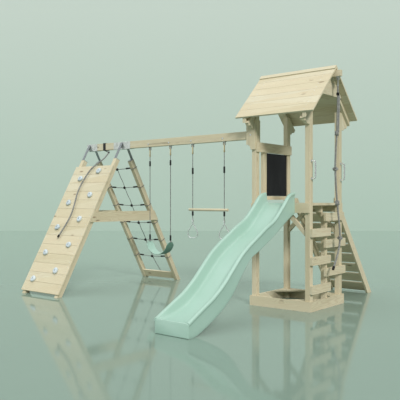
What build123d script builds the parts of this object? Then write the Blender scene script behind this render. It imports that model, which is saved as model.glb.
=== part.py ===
"""Garden play tower with wave slide, swing beam, climbing wall, rope net and ramp.

Millimetres, +Z up, ground at z = 0. The frame's origin is under the middle of the whole set.
Places are worked out from the middle of the tower, and at() moves them into the set's frame.
"""

import os
from math import cos, pi, radians, sin, tan

from build123d import *

os.makedirs("parts", exist_ok=True)

# ---- overall layout --------------------------------------------------------------------
left_reach = 3375  # tower middle to the free end of the swing beam
right_reach = 580  # tower middle to the tip of the ridge beam
front_reach = 2285  # tower middle to the exit lip of the slide
back_reach = 1475  # tower middle to the foot of the ramp
tower_x = (left_reach - right_reach) / 2
tower_y = (front_reach - back_reach) / 2

# ---- tower -----------------------------------------------------------------------------
tower_half_x = 390  # outer faces of the posts
tower_half_y = 395
post_x = 60
post_y = 70
inner_x = tower_half_x - post_x
inner_y = tower_half_y - post_y
board = 20  # thickness of plain cladding boards
deck_top = 1220
deck_board = 28
joist_height = 82
deck_under = deck_top - deck_board - joist_height
box_height = 115  # sandbox sides
gap = 2  # play between neighbouring boards

# ---- roof ------------------------------------------------------------------------------
roof_half_x = 518
eave_half_y = 565
ridge_z = 2800  # outer ridge of the roof boards
roof_board = 18
roof_rows = 6
rafter_depth = 45
rafter_width = 45
skin_drop = roof_board * 2**0.5  # vertical thickness of the 45 degree roof boards
rafter_drop = rafter_depth * 2**0.5
rafter_under = ridge_z - skin_drop - rafter_drop  # underside of the rafters at y = 0
post_top = rafter_under - tower_half_y  # the posts reach the rafters
gable_bottom = 2470

# ---- swing beam and A-frame ------------------------------------------------------------
beam_y = -tower_half_y + post_y / 2
beam_half = 35
beam_top = 2083
beam_under = 1985
frame_mid = -2973  # middle of the two A-frames along the beam
frame_half = 345  # A-frame centres from that middle
leg_width = 60
leg_depth = 70
leg_angle = 60.7  # from the ground
leg_top = 1845  # upper outer corner of a leg
strap = 6
wall_half = 395
wall_rows = 14
wall_board = 22
wall_first = 38  # slope distance from the ground to the lowest board
wall_pitch = 139.2
foot_reach = beam_half + beam_top / tan(radians(leg_angle))  # beam middle to a leg's outer toe

# ---- swinging gear ---------------------------------------------------------------------
pivot_z = 1955
pin_radius = 4
running_gap = 0.06  # radial play of an eye on its pin
swing_mid = -1919
swing_half = 189
trapeze_mid = -1086
trapeze_half = 256
rope_radius = 5
rope_top = 1852
seat_tip = 690
seat_low = 512
bar_z = 1130
ring_pivot_z = 978
climb_rope_x = 535
climb_pivot_z = 2650


def at(x, y, z):
    """A place given from the middle of the tower, in the set's frame."""
    return (tower_x + x, tower_y + y, z)


def block(x_ends, y_ends, z_ends, mode=Mode.ADD):
    """A square-edged bar between the given ends."""
    middle = [(ends[0] + ends[1]) / 2 for ends in (x_ends, y_ends, z_ends)]
    size = [abs(ends[1] - ends[0]) for ends in (x_ends, y_ends, z_ends)]
    with Locations(at(*middle)):
        Box(*size, mode=mode)


def prism_x(outline, x0, x1, mode=Mode.ADD):
    """A bar along X whose side view is the outline of (y, z) corners."""
    with BuildSketch(Plane.YZ.offset(tower_x + x0)) as face:
        with BuildLine():
            Polyline(*[(tower_y + y, z) for y, z in outline], close=True)
        make_face()
    extrude(face.sketch, amount=x1 - x0, mode=mode)


def prism_y(outline, y0, y1, mode=Mode.ADD):
    """A bar along Y whose front view is the outline of (x, z) corners."""
    with BuildSketch(Plane.XZ.offset(-tower_y - y0)) as face:
        with BuildLine():
            Polyline(*[(tower_x + x, z) for x, z in outline], close=True)
        make_face()
    extrude(face.sketch, amount=y0 - y1, mode=mode)


def rod(start, end, radius, mode=Mode.ADD):
    """A round bar between two places."""
    axis = Vector(*end) - Vector(*start)
    with BuildSketch(Plane(origin=at(*start), z_dir=axis)) as face:
        Circle(radius)
    extrude(face.sketch, amount=axis.length, mode=mode)


def smooth_radii(points):
    """Arc radii for a rope's corners: 0.45 of the shorter run over the tangent of half the turn."""
    runs = [Vector(*b) - Vector(*a) for a, b in zip(points, points[1:])]
    radii = []
    for run, following in zip(runs, runs[1:]):
        half_turn = radians(run.get_angle(following) / 2)
        radii.append(0.45 * min(run.length, following.length) / tan(half_turn))
    return radii


def rope(name, points, radius, radii=None):
    """A rope along straight runs joined by tangent arcs; prints what it measures."""
    placed = [at(*point) for point in points]
    radii = radii or smooth_radii(placed)
    with BuildLine() as route:
        FilletPolyline(*placed, radius=radii)
    path = route.wire()
    with BuildSketch(Plane(origin=path @ 0, z_dir=path % 0)) as face:
        Circle(radius)
    tube = sweep(face.sketch, path=path, mode=Mode.PRIVATE)
    add(tube)
    share = tube.volume / (pi * radius**2 * path.length)
    print(f"{name}: length {path.length:.0f}, volume share {share:.4f}, radii", [round(r) for r in radii])


def corners(x, y):
    """The four mirrored pairs of signs times x and y."""
    return [(sx * x, sy * y) for sx in (-1, 1) for sy in (-1, 1)]


def slope_point(side, along, out):
    """(y, z) on an A-frame leg: along from its toe, out from its outer face.

    side is -1 for the climbing wall's legs and 1 for the net's legs.
    """
    angle = radians(leg_angle)
    y = beam_y + side * (foot_reach - along * cos(angle) + out * sin(angle))
    return (y, along * sin(angle) + out * cos(angle))


def slope_bar(side, along, out, x0, x1, mode=Mode.ADD):
    """A bar along X lying on the slope of an A-frame leg, between two pairs of ends."""
    path = [(along[0], out[0]), (along[1], out[0]), (along[1], out[1]), (along[0], out[1])]
    prism_x([slope_point(side, a, o) for a, o in path], x0, x1, mode)


# ======================================================================================
# Tower frame
# ======================================================================================
post_centre_x = tower_half_x - post_x / 2
post_centre_y = tower_half_y - post_y / 2

with BuildPart() as corner_posts:
    for x, y in corners(post_centre_x, post_centre_y):
        block((x - post_x / 2, x + post_x / 2), (y - post_y / 2, y + post_y / 2), (0, post_top))
corner_posts.part.label = "corner_posts"
export_step(corner_posts.part, "parts/corner_posts.step")

# Eave brackets: a board on each post's outer face under the rafter, its lower edge cut in
# two hollows.
corbel_board = 45
corbel_reach = 150
corbel_low = 2105
corbel_start = tower_half_y + 0.5
cheek_top = 2212
cheek_board = 22

with BuildPart() as corbel_braces:
    for x_sign in (-1, 1):
        for y_sign in (-1, 1):
            x0, x1 = sorted((x_sign * tower_half_x, x_sign * (tower_half_x - corbel_board)))
            tip = corbel_start + corbel_reach
            outline = [(corbel_start, rafter_under - corbel_start), (tip, rafter_under - tip),
                       (tip, rafter_under - tip - 22), (corbel_start + 45, corbel_low), (corbel_start, corbel_low)]
            prism_x([(y_sign * y, z) for y, z in outline], x0, x1)
            for out, low, radius in ((100, corbel_low - 10, 42), (160, corbel_low + 26, 32)):
                y = y_sign * (corbel_start + out)
                rod((x0 - 1, y, low), (x1 + 1, y, low), radius, mode=Mode.SUBTRACT)
    # the front bracket beside the swing beam sits on the beam's cheek board
    block((-tower_half_x - 1, -tower_half_x + corbel_board + 1),
          (-tower_half_y - cheek_board - 0.5, -tower_half_y), (corbel_low - 1, cheek_top + 0.5), Mode.SUBTRACT)
corbel_braces.part.label = "corbel_braces"
export_step(corbel_braces.part, "parts/corbel_braces.step")

# ======================================================================================
# Deck
# ======================================================================================
deck_boards_across = 6
deck_span = 2 * inner_x
deck_pitch = deck_span / deck_boards_across

with BuildPart() as deck_boards:
    for i in range(deck_boards_across):
        x = -inner_x + i * deck_pitch
        block((x + gap / 2, x + deck_pitch - gap / 2), (-tower_half_y, tower_half_y),
              (deck_top - deck_board, deck_top))
    for side in (-1, 1):
        block((side * (inner_x + gap), side * tower_half_x), (-inner_y + gap, inner_y - gap),
              (deck_top - deck_board, deck_top))
deck_boards.part.label = "deck_boards"
export_step(deck_boards.part, "parts/deck_boards.step")

with BuildPart() as deck_joists:
    for side in (-1, 1):
        y = side * post_centre_y
        block((-inner_x, inner_x), (y - 22, y + 22), (deck_under, deck_top - deck_board))
    block((-inner_x, inner_x), (-22, 22), (deck_under, deck_top - deck_board))
deck_joists.part.label = "deck_joists"
export_step(deck_joists.part, "parts/deck_joists.step")

with BuildPart() as deck_fascias:
    for side in (-1, 1):
        block((-tower_half_x, tower_half_x), (side * tower_half_y, side * (tower_half_y + board)),
              (deck_under, deck_top))
deck_fascias.part.label = "deck_fascias"
export_step(deck_fascias.part, "parts/deck_fascias.step")

# Knee braces under the deck, one from each post towards the middle of the long joists.
knee = 210
knee_width = 45

with BuildPart() as knee_braces:
    cut = knee_width * 2**0.5
    for side in (-1, 1):
        for y in (-post_centre_y, post_centre_y):
            outline = [(side * inner_x, deck_under - knee), (side * (inner_x - knee), deck_under),
                       (side * (inner_x - knee - cut), deck_under),
                       (side * inner_x, deck_under - knee - cut)]
            prism_y(outline, y - knee_width / 2, y + knee_width / 2)
knee_braces.part.label = "knee_braces"
export_step(knee_braces.part, "parts/knee_braces.step")

# ======================================================================================
# Sandbox
# ======================================================================================
box_half_x = tower_half_x + board
box_half_y = tower_half_y + board

with BuildPart() as sandbox_boards:
    for side in (-1, 1):
        block((-box_half_x, box_half_x), (side * tower_half_y, side * box_half_y), (0, box_height))
        block((side * tower_half_x, side * box_half_x), (-tower_half_y + 0.5, tower_half_y - 0.5),
              (0, box_height))
sandbox_boards.part.label = "sandbox_boards"
export_step(sandbox_boards.part, "parts/sandbox_boards.step")

seat_board = 18
seat_leg = 290

with BuildPart() as sandbox_seats:
    for sx in (-1, 1):
        for sy in (-1, 1):
            x_out, y_out = tower_half_x - 1, tower_half_y - 1
            x_in, y_in = inner_x - 1, inner_y - 1
            outline = [(x_out, y_out - seat_leg), (x_out, y_in), (x_in, y_in),
                       (x_in, y_out), (x_out - seat_leg, y_out)]
            with BuildSketch(Plane.XY.offset(box_height - seat_board)):
                with BuildLine():
                    Polyline(*[(tower_x + sx * x, tower_y + sy * y) for x, y in outline], close=True)
                make_face()
            extrude(amount=seat_board)
sandbox_seats.part.label = "sandbox_seats"
export_step(sandbox_seats.part, "parts/sandbox_seats.step")

# ======================================================================================
# Step wall on the +X face
# ======================================================================================
step_board = 33
step_height = 95
stud_half = 19

with BuildPart() as step_stud:
    block((inner_x - 5, tower_half_x), (-stud_half, stud_half), (0, deck_under))
step_stud.part.label = "step_stud"
export_step(step_stud.part, "parts/step_stud.step")

# Each board crosses the stud and one post: (height of its middle, its two ends along Y).
step_rows = [
    (243, -tower_half_y, 50), (417, -70, 430), (566, -tower_half_y, 50),
    (748, -70, 430), (884, -tower_half_y, 50), (1060, -70, tower_half_y),
]

with BuildPart() as step_boards:
    for z, y0, y1 in step_rows:
        block((tower_half_x, tower_half_x + step_board), (y0, y1),
              (z - step_height / 2, z + step_height / 2))
step_boards.part.label = "step_boards"
export_step(step_boards.part, "parts/step_boards.step")

# ======================================================================================
# Grab handles on the +X posts
# ======================================================================================
handle_low = 1495
handle_high = 1695
handle_out = 52
handle_radius = 8
flange_radius = 17
flange = 5

with BuildPart() as grab_handles:
    for side in (-1, 1):
        y = side * post_centre_y
        with BuildLine() as grip:
            FilletPolyline(
                at(tower_half_x + flange, y, handle_low), at(tower_half_x + handle_out, y, handle_low),
                at(tower_half_x + handle_out, y, handle_high), at(tower_half_x + flange, y, handle_high),
                radius=26)
        with BuildSketch(Plane(origin=grip.line @ 0, z_dir=grip.line % 0)) as bar_face:
            Circle(handle_radius)
        sweep(bar_face.sketch, path=grip.line)
        for z in (handle_low, handle_high):
            rod((tower_half_x, y, z), (tower_half_x + flange, y, z), flange_radius)
grab_handles.part.label = "grab_handles"
export_step(grab_handles.part, "parts/grab_handles.step")

# ======================================================================================
# Guard rail, chalkboard rails and chalkboard on the -X side
# ======================================================================================
chalk_left = -165
chalk_low = 1305
chalk_high = 1829
frame_deep = 38

with BuildPart() as side_rails:
    block((-inner_x, -inner_x + board), (-tower_half_y, tower_half_y), (1830, 1945))
    block((-inner_x - frame_deep, -inner_x - 0.2), (-inner_y, inner_y), (1258, 1303))
    block((-inner_x - frame_deep, -inner_x - 0.2), (chalk_left - 70, chalk_left), (1303.5, 1940))
side_rails.part.label = "side_rails"
export_step(side_rails.part, "parts/side_rails.step")

with BuildPart() as chalkboard:
    block((-inner_x - 26, -inner_x - 14), (chalk_left + 1, inner_y - 1), (chalk_low, chalk_high))
chalkboard.part.label = "chalkboard"
export_step(chalkboard.part, "parts/chalkboard.step")

# ======================================================================================
# Roof
# ======================================================================================
ridge_half = 22.5
ridge_beam_top = ridge_z - skin_drop - ridge_half
ridge_beam_height = 72
rafter_rows = (-400, 400)


def under_skin(y):
    """Height of the roof boards' underside at a distance y from the ridge."""
    return ridge_z - skin_drop - abs(y)


with BuildPart() as ridge_beam:
    block((-roof_half_x + 20, right_reach), (-ridge_half, ridge_half),
          (ridge_beam_top - ridge_beam_height, ridge_beam_top))
ridge_beam.part.label = "ridge_beam"
export_step(ridge_beam.part, "parts/ridge_beam.step")

tail = eave_half_y - 20  # rafter tails stop short of the roof boards' lower edge

with BuildPart() as rafters:
    for x in rafter_rows:
        for side in (-1, 1):
            near, far = side * (ridge_half + 0.5), side * tail
            outline = [(near, under_skin(near)), (far, under_skin(far)),
                       (far, under_skin(far) - rafter_drop), (near, under_skin(near) - rafter_drop)]
            prism_x(outline, x - rafter_width / 2, x + rafter_width / 2)
rafters.part.label = "rafters"
export_step(rafters.part, "parts/rafters.step")

row_depth = (eave_half_y * 2**0.5) / roof_rows


inward = roof_board / 2**0.5

with BuildPart() as roof_boards:
    for side in (-1, 1):
        for i in range(roof_rows):
            near = (i * row_depth + gap / 2) / 2**0.5
            far = ((i + 1) * row_depth - gap / 2) / 2**0.5
            outline = [(side * near, ridge_z - near), (side * far, ridge_z - far),
                       (side * (far - inward), ridge_z - far - inward)]
            if i == 0:  # the top board is mitred against the other slope
                outline += [(side * near, ridge_z - skin_drop - near)]
            else:
                outline += [(side * (near - inward), ridge_z - near - inward)]
            prism_x(outline, -roof_half_x, roof_half_x)
roof_boards.part.label = "roof_boards"
export_step(roof_boards.part, "parts/roof_boards.step")

cap_leg = 62
cap_board = 12

with BuildPart() as ridge_cap:
    outer = ridge_z + cap_board * 2**0.5
    reach = cap_leg / 2**0.5
    prism_x([(0, outer), (reach, outer - reach), (reach - cap_board / 2**0.5, outer - reach - cap_board / 2**0.5),
             (0, ridge_z), (cap_board / 2**0.5 - reach, outer - reach - cap_board / 2**0.5),
             (-reach, outer - reach)], -roof_half_x, roof_half_x)
ridge_cap.part.label = "ridge_cap"
export_step(ridge_cap.part, "parts/ridge_cap.step")

gable_rows = 2
gable_x = rafter_rows[-1] + rafter_width / 2

with BuildPart() as gable_panels:
    for side in (-1, 1):
        x0 = side * (gable_x + 0.5)
        x1 = x0 + side * 16
        peak = under_skin(0) - gap
        row = (peak - gap - gable_bottom) / gable_rows
        for i in range(gable_rows):
            low = gable_bottom + i * row + gap / 2
            high = low + row - gap
            prism_x([(low - peak, low), (peak - low, low), (peak - high, high), (high - peak, high)], x0, x1)
    slot_half = ridge_half + 1
    block((-roof_half_x, roof_half_x), (-slot_half, slot_half),
          (ridge_beam_top - ridge_beam_height - 1, ridge_z), mode=Mode.SUBTRACT)
gable_panels.part.label = "gable_panels"
export_step(gable_panels.part, "parts/gable_panels.step")

# ======================================================================================
# Slide: one moulded chute on the front of the tower
# ======================================================================================
rim_half = 216  # outside of the rolled rims
skirt_half = 208
bed_half = 152
slide_wall = 9
rim_thickness = 26
slide_start = -(tower_half_y + board)
slide_end = -front_reach

# Side view from the deck to the exit: (y, bed height, rim above bed, skirt below bed).
slide_stations = [
    (slide_start, 1222, 120, 122), (-520, 1168, 142, 118), (-660, 1040, 142, 68), (-820, 915, 136, 34),
    (-1000, 832, 132, 44), (-1150, 757, 125, 43), (-1300, 676, 124, 32), (-1450, 556, 146, 64),
    (-1600, 424, 146, 100), (-1750, 306, 134, 98), (-1900, 218, 120, 94), (-2050, 166, 98, 112),
    (-2180, 140, 58, 134), (slide_end, 130, 17, 130),
]
bed_line = [(y, bed) for y, bed, rim, skirt in slide_stations]
rim_line = [(y, bed + rim) for y, bed, rim, skirt in slide_stations]
skirt_line = [(y, bed - skirt) for y, bed, rim, skirt in slide_stations]


def raised(line, rise):
    """The same line moved straight up."""
    return [(y, z + rise) for y, z in line]


def chute_band(upper, lower, half_width, mode=Mode.ADD):
    """A bar across the slide whose side view lies between two smooth lines."""
    upper = [(tower_y + y, z) for y, z in upper]
    lower = [(tower_y + y, z) for y, z in lower]
    with BuildSketch(Plane.YZ.offset(tower_x - half_width)) as face:
        with BuildLine():
            Spline(*upper)
            Line(upper[-1], lower[-1])
            Spline(*lower)
            Line(lower[0], upper[0])
        make_face()
    extrude(face.sketch, amount=2 * half_width, mode=mode)


with BuildPart() as slide_chute:
    chute_band(rim_line, skirt_line, skirt_half)
    chute_band(rim_line, raised(rim_line, -rim_thickness), rim_half)
    chute_band(raised(rim_line, 200), bed_line, bed_half, Mode.SUBTRACT)
    chute_band(raised(bed_line, -slide_wall), raised(skirt_line, -150),
               skirt_half - slide_wall, Mode.SUBTRACT)
    # the foot is level with the ground, with a closed apron across the exit
    block((-rim_half, rim_half), (slide_end, -1900), (-200, 0), Mode.SUBTRACT)
    block((-skirt_half, skirt_half), (slide_end, slide_end + slide_wall), (0, 129))
    # inlet flange against the deck
    block((-skirt_half, skirt_half), (slide_start - slide_wall, slide_start), (1100, 1222))
slide_chute.part.label = "slide_chute"
export_step(slide_chute.part, "parts/slide_chute.step")

slide_bolt_x = 120
slide_bolt_z = 1180

# ======================================================================================
# Ramp at the back: two rails, climbing boards with gaps, and small holds
# ======================================================================================
ramp_angle = 52.2
ramp_depth = 95
ramp_rail = 28
ramp_half = 300
ramp_rows = 8
ramp_pitch = 172
ramp_board = 22
ramp_board_width = 140
ramp_top = deck_top
ramp_face_y = back_reach  # toe of the rails


def ramp_point(along, out):
    """(y, z) on the ramp: along from its toe, out from the rails' upper edge."""
    angle = radians(ramp_angle)
    return (ramp_face_y - along * cos(angle) + out * sin(angle), along * sin(angle) + out * cos(angle))


def ramp_bar(along, out, x0, x1):
    """A bar along X lying on the ramp's slope."""
    path = [(along[0], out[0]), (along[1], out[0]), (along[1], out[1]), (along[0], out[1])]
    prism_x([ramp_point(a, o) for a, o in path], x0, x1)


ramp_back_y = tower_half_y + board
toe_run = ramp_depth / sin(radians(ramp_angle))

with BuildPart() as ramp_rails:
    climb = tan(radians(ramp_angle))
    top_of_rail = (ramp_face_y - ramp_back_y - 0.5) * climb
    head_z = min(top_of_rail, ramp_top + 60)
    head_y = ramp_face_y - head_z / climb
    for side in (-1, 1):
        outline = [(ramp_face_y, 0), (head_y, head_z), (ramp_back_y + 0.5, head_z),
                   (ramp_back_y + 0.5, (ramp_face_y - toe_run - ramp_back_y - 0.5) * climb),
                   (ramp_face_y - toe_run, 0)]
        prism_x(outline, min(side * ramp_half, side * (ramp_half - ramp_rail)),
                max(side * ramp_half, side * (ramp_half - ramp_rail)))
    # cleats under the boards
    for side in (-1, 1):
        x0 = side * (ramp_half - ramp_rail - 0.5)
        x1 = x0 - side * 28
        ramp_bar((50, 30 + (ramp_rows - 1) * ramp_pitch + ramp_board_width),
                 (-ramp_board - 29, -ramp_board - 1), min(x0, x1), max(x0, x1))
ramp_rails.part.label = "ramp_rails"
export_step(ramp_rails.part, "parts/ramp_rails.step")

with BuildPart() as ramp_boards:
    for i in range(ramp_rows):
        start = 40 + i * ramp_pitch
        ramp_bar((start, start + ramp_board_width), (-ramp_board - 0.5, -0.5),
                 -ramp_half + ramp_rail + 0.5, ramp_half - ramp_rail - 0.5)
ramp_boards.part.label = "ramp_boards"
export_step(ramp_boards.part, "parts/ramp_boards.step")

# Climbing holds: a low rounded stone with a bolt head, made in a local plane.
stone_high = 34


def stone(plane, radius):
    """A faceted stone standing on a plane."""
    with BuildSketch(plane) as base:
        RegularPolygon(radius, 7)
    with BuildSketch(plane.offset(stone_high * 0.55)) as waist:
        RegularPolygon(radius * 0.92, 7)
    with BuildSketch(plane.offset(stone_high)) as crown:
        RegularPolygon(radius * 0.55, 7)
    loft([base.sketch, waist.sketch], ruled=True)
    loft([waist.sketch, crown.sketch], ruled=True)


def slope_plane(side, x, along, out):
    """A plane on the A-frame slope facing outwards."""
    y, z = slope_point(side, along, out)
    angle = radians(leg_angle)
    return Plane(origin=at(x, y, z), x_dir=(1, 0, 0), z_dir=(0, side * sin(angle), cos(angle)))


def ramp_plane(x, along):
    """A plane on the ramp's boards facing outwards."""
    y, z = ramp_point(along, 0)
    angle = radians(ramp_angle)
    return Plane(origin=at(x, y, z), x_dir=(1, 0, 0), z_dir=(0, sin(angle), cos(angle)))


# ======================================================================================
# Swing beam and its joint to the tower
# ======================================================================================
hanger_xs = [swing_mid - swing_half, swing_mid + swing_half,
             trapeze_mid - trapeze_half, trapeze_mid + trapeze_half]
bolt_z = 2022
bolt_radius = 4
cheek_bolts = [(-394, 2034)]

with BuildPart() as swing_beam:
    block((-left_reach, -tower_half_x), (beam_y - beam_half, beam_y + beam_half), (beam_under, beam_top))
    for x in hanger_xs:
        rod((x, beam_y - beam_half - 1, bolt_z), (x, beam_y + beam_half + 1, bolt_z),
            bolt_radius + 0.1, Mode.SUBTRACT)
swing_beam.part.label = "swing_beam"
export_step(swing_beam.part, "parts/swing_beam.step")

with BuildPart() as beam_cheeks:
    x0, x1, low, high = -458, -332, 1858, cheek_top
    scoop = 62
    for y0 in (beam_y - beam_half - cheek_board, beam_y + beam_half):
        block((x0, x1), (y0, y0 + cheek_board), (low, high))
        for z in (low, high):
            rod((x0, y0 - 1, z), (x0, y0 + cheek_board + 1, z), scoop, Mode.SUBTRACT)
beam_cheeks.part.label = "beam_cheeks"
export_step(beam_cheeks.part, "parts/beam_cheeks.step")

with BuildPart() as hanger_bolts:
    for x in hanger_xs:
        rod((x, beam_y - beam_half - 9, bolt_z), (x, beam_y + beam_half + 9, bolt_z), bolt_radius)
        for side in (-1, 1):
            face = beam_y + side * beam_half
            rod((x, face, bolt_z), (x, face + side * 3, bolt_z), 12)
            rod((x, face + side * 3, bolt_z), (x, face + side * 9, bolt_z), 7)
hanger_bolts.part.label = "hanger_bolts"
export_step(hanger_bolts.part, "parts/hanger_bolts.step")

# ======================================================================================
# A-frame: brackets, legs, climbing wall, cross boards
# ======================================================================================
frame_xs = [frame_mid - frame_half, frame_mid + frame_half]
leg_along = leg_top / sin(radians(leg_angle))  # slope length of a leg's outer edge
apex_along = beam_top / sin(radians(leg_angle))
strap_width = 45
saddle_half = 168
saddle = 4
saddle_out = beam_half + saddle + 0.2
web_run = 95  # depth of the small gusset beside the beam, along the leg
ground_cut = 400

with BuildPart() as a_frame_brackets:
    for x in frame_xs:
        x0, x1 = x - strap_width / 2, x + strap_width / 2
        for side in (-1, 1):
            slope_bar(side, (leg_along + strap, apex_along), (-strap, 0), x0, x1)
            slope_bar(side, (leg_along + 0.2, leg_along + strap), (-leg_depth, 0), x - 28, x + 28)
        web = [slope_point(-1, apex_along, -strap), slope_point(-1, apex_along - web_run, -strap),
               slope_point(1, apex_along - web_run, -strap), slope_point(1, apex_along, -strap)]
        prism_x(web, x - strap / 2, x + strap / 2)
        block((x - strap_width, x + strap_width), (beam_y - saddle_out, beam_y + saddle_out),
              (beam_under - 100, beam_top + 1), Mode.SUBTRACT)
a_frame_brackets.part.label = "a_frame_brackets"
export_step(a_frame_brackets.part, "parts/a_frame_brackets.step")

with BuildPart() as beam_saddles:
    for x in frame_xs:
        end = max(x - saddle_half, -left_reach)
        block((end, x + saddle_half), (beam_y - beam_half - saddle, beam_y + beam_half + saddle),
              (beam_under - saddle, beam_top))
        block((end - 1, x + saddle_half + 1), (beam_y - beam_half, beam_y + beam_half),
              (beam_under, beam_top + 1), Mode.SUBTRACT)
beam_saddles.part.label = "beam_saddles"
export_step(beam_saddles.part, "parts/beam_saddles.step")


def legs(side):
    """The two legs on one slope, square-cut at the top and level with the ground at the foot."""
    for x in frame_xs:
        slope_bar(side, (-ground_cut, leg_along), (-leg_depth, 0), x - leg_width / 2, x + leg_width / 2)
    block((frame_mid - 600, frame_mid + 600), (beam_y - 2000, beam_y + 2000), (-600, 0), Mode.SUBTRACT)


with BuildPart() as wall_legs:
    legs(-1)
wall_legs.part.label = "wall_legs"
export_step(wall_legs.part, "parts/wall_legs.step")

with BuildPart() as net_legs:
    legs(1)
net_legs.part.label = "net_legs"
export_step(net_legs.part, "parts/net_legs.step")

with BuildPart() as wall_boards:
    for i in range(wall_rows):
        start = wall_first + i * wall_pitch
        slope_bar(-1, (start, start + wall_pitch - gap), (0, wall_board),
                  frame_mid - wall_half, frame_mid + wall_half)
wall_boards.part.label = "wall_boards"
export_step(wall_boards.part, "parts/wall_boards.step")

# Ten holds in a ladder pattern: (x from the wall's middle, slope distance).
wall_stone_places = [(158, 1894), (-164, 1772), (192, 1505), (-189, 1377), (190, 1125),
                     (-195, 988), (200, 735), (-209, 599), (160, 354), (-222, 206)]

ramp_stone_places = [(-150, 282), (150, 455), (-150, 626), (150, 798), (-150, 970), (150, 1142)]
wall_planes = [slope_plane(-1, frame_mid + x, along, wall_board) for x, along in wall_stone_places]
ramp_planes = [ramp_plane(x, along) for x, along in ramp_stone_places]

with BuildPart() as climbing_stones:
    for plane in wall_planes:
        stone(plane, 46)
    for plane in ramp_planes:
        stone(plane, 38)
climbing_stones.part.label = "climbing_stones"
export_step(climbing_stones.part, "parts/climbing_stones.step")

# Heads of the coach bolts: on the stones, the slide's flange, the beam cheeks and the handles.
with BuildPart() as bolt_heads:
    for plane in wall_planes + ramp_planes:
        with BuildSketch(plane.offset(stone_high)) as head_face:
            RegularPolygon(8, 6)
        extrude(head_face.sketch, amount=4)
    for x in (-slide_bolt_x, 0, slide_bolt_x):
        flange_face = slide_start - slide_wall
        rod((x, flange_face, slide_bolt_z), (x, flange_face - 5, slide_bolt_z), 9)
    for x, z in cheek_bolts:
        for side in (-1, 1):
            face = beam_y + side * (beam_half + cheek_board)
            rod((x, face, z), (x, face + side * 6, z), 9)
bolt_heads.part.label = "bolt_heads"
export_step(bolt_heads.part, "parts/bolt_heads.step")

cross_low, cross_high = 955, 1097
net_half = frame_half - leg_width / 2  # to the inner faces of the legs
net_out = -leg_depth / 2

with BuildPart() as cross_boards:
    corners_up = [(side, z / sin(radians(leg_angle))) for side, z in
                  ((-1, cross_low), (-1, cross_high), (1, cross_high), (1, cross_low))]
    outline = [slope_point(side, along, 0) for side, along in corners_up]
    outer = frame_half + leg_width / 2
    for side in (-1, 1):
        near = frame_mid + side * outer
        far = near + side * wall_board
        prism_x(outline, min(near, far), max(near, far))
    # the low board between the net's legs
    slope_bar(1, (56, 172), (net_out - wall_board - 6, net_out - 6),
              frame_mid - net_half + 0.5, frame_mid + net_half - 0.5)
cross_boards.part.label = "cross_boards"
export_step(cross_boards.part, "parts/cross_boards.step")

# ======================================================================================
# Rope net on the back slope of the A-frame
# ======================================================================================
net_heights = [1725, 1456, 1188, 920, 650, 382]
net_rope = 5

# Sag of a rung between the legs: (x from the middle, drop).
wrap_thick = 8.5
rung_end = net_half - wrap_thick - 1
rung_shape = [(-rung_end, 0), (-190, -10), (-64, -16), (62, -15), (188, -9), (rung_end, 0)]


def net_place(x, z, out=net_out):
    """A place on the net's slope at height z."""
    along = (z - out * cos(radians(leg_angle))) / sin(radians(leg_angle))
    y, height = slope_point(1, along, out)
    return (frame_mid + x, y, height)


with BuildPart() as net_rungs:
    for z in net_heights:
        points = [net_place(x, z) for x, drop in rung_shape]
        points = [(x, y, height + drop) for (x, y, height), (_, drop) in zip(points, rung_shape)]
        rope("net_rungs", points, net_rope)
        # a turn of the rung's rope round each leg
        for x in frame_xs:
            y, height = net_place(0, z)[1:]
            angle = radians(leg_angle)
            band = Plane(origin=at(x, y, height), x_dir=(1, 0, 0), z_dir=(0, -cos(angle), sin(angle)))
            with BuildSketch(band) as loop:
                RectangleRounded(leg_width + 2 * wrap_thick, leg_depth + 2 * wrap_thick, 8)
                Rectangle(leg_width + 1, leg_depth + 1, mode=Mode.SUBTRACT)
            extrude(loop.sketch, amount=4, both=True)
net_rungs.part.label = "net_rungs"
export_step(net_rungs.part, "parts/net_rungs.step")

# The upright rope of the net: (x from the middle, height), from the top rung to the low board.
upright_shape = [(0, 1709), (-6, 1600), (8, 1530), (0, 1440), (-5, 1330), (9, 1262), (0, 1172),
                 (-5, 1064), (9, 996), (2, 904), (-4, 796), (10, 726), (4, 634), (-3, 530), (12, 452),
                 (6, 366), (14, 284), (38, 200), (60, 112)]

with BuildPart() as net_upright:
    rope("net_upright", [net_place(x, z) for x, z in upright_shape], net_rope)
net_upright.part.label = "net_upright"
export_step(net_upright.part, "parts/net_upright.step")

# Moulded fittings: a ball at each crossing, a sleeve at each end of a rung, and the low anchor.
with BuildPart() as net_fittings:
    for z in net_heights:
        x, y, height = net_place(0, z)
        with Locations(at(x, y, height - 16)):
            Sphere(18)
        for side in (-1, 1):
            x, y, height = net_place(side * 232, z - 5)
            rod((x - 45, y, height + side * -3), (x + 45, y, height + side * 3), 13)
    slope_bar(1, (80, 150), (net_out - 5.9, net_out + 12), frame_mid + 44, frame_mid + 76)
net_fittings.part.label = "net_fittings"
export_step(net_fittings.part, "parts/net_fittings.step")

# ======================================================================================
# Hangers: a clevis screwed under a beam, its pin, and the link that swings on the pin
# ======================================================================================
ear = 4
ear_gap = 9


def clevis(x, y, under, pivot):
    """A base plate and two ears with a bore along X."""
    block((x - 22, x + 22), (y - 24, y + 24), (under - ear, under))
    for side in (-1, 1):
        block((x + side * ear_gap, x + side * (ear_gap + ear)), (y - 14, y + 14), (pivot - 12, under - ear))
    rod((x - 30, y, pivot), (x + 30, y, pivot), pin_radius + 0.05, Mode.SUBTRACT)


def pivot_pin(x, y, pivot):
    """A clevis pin with a head at each end."""
    reach = ear_gap + ear
    rod((x - reach - 3, y, pivot), (x + reach + 3, y, pivot), pin_radius)
    for side in (-1, 1):
        rod((x + side * (reach + 0.3), y, pivot), (x + side * (reach + 3), y, pivot), pin_radius + 3)


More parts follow.
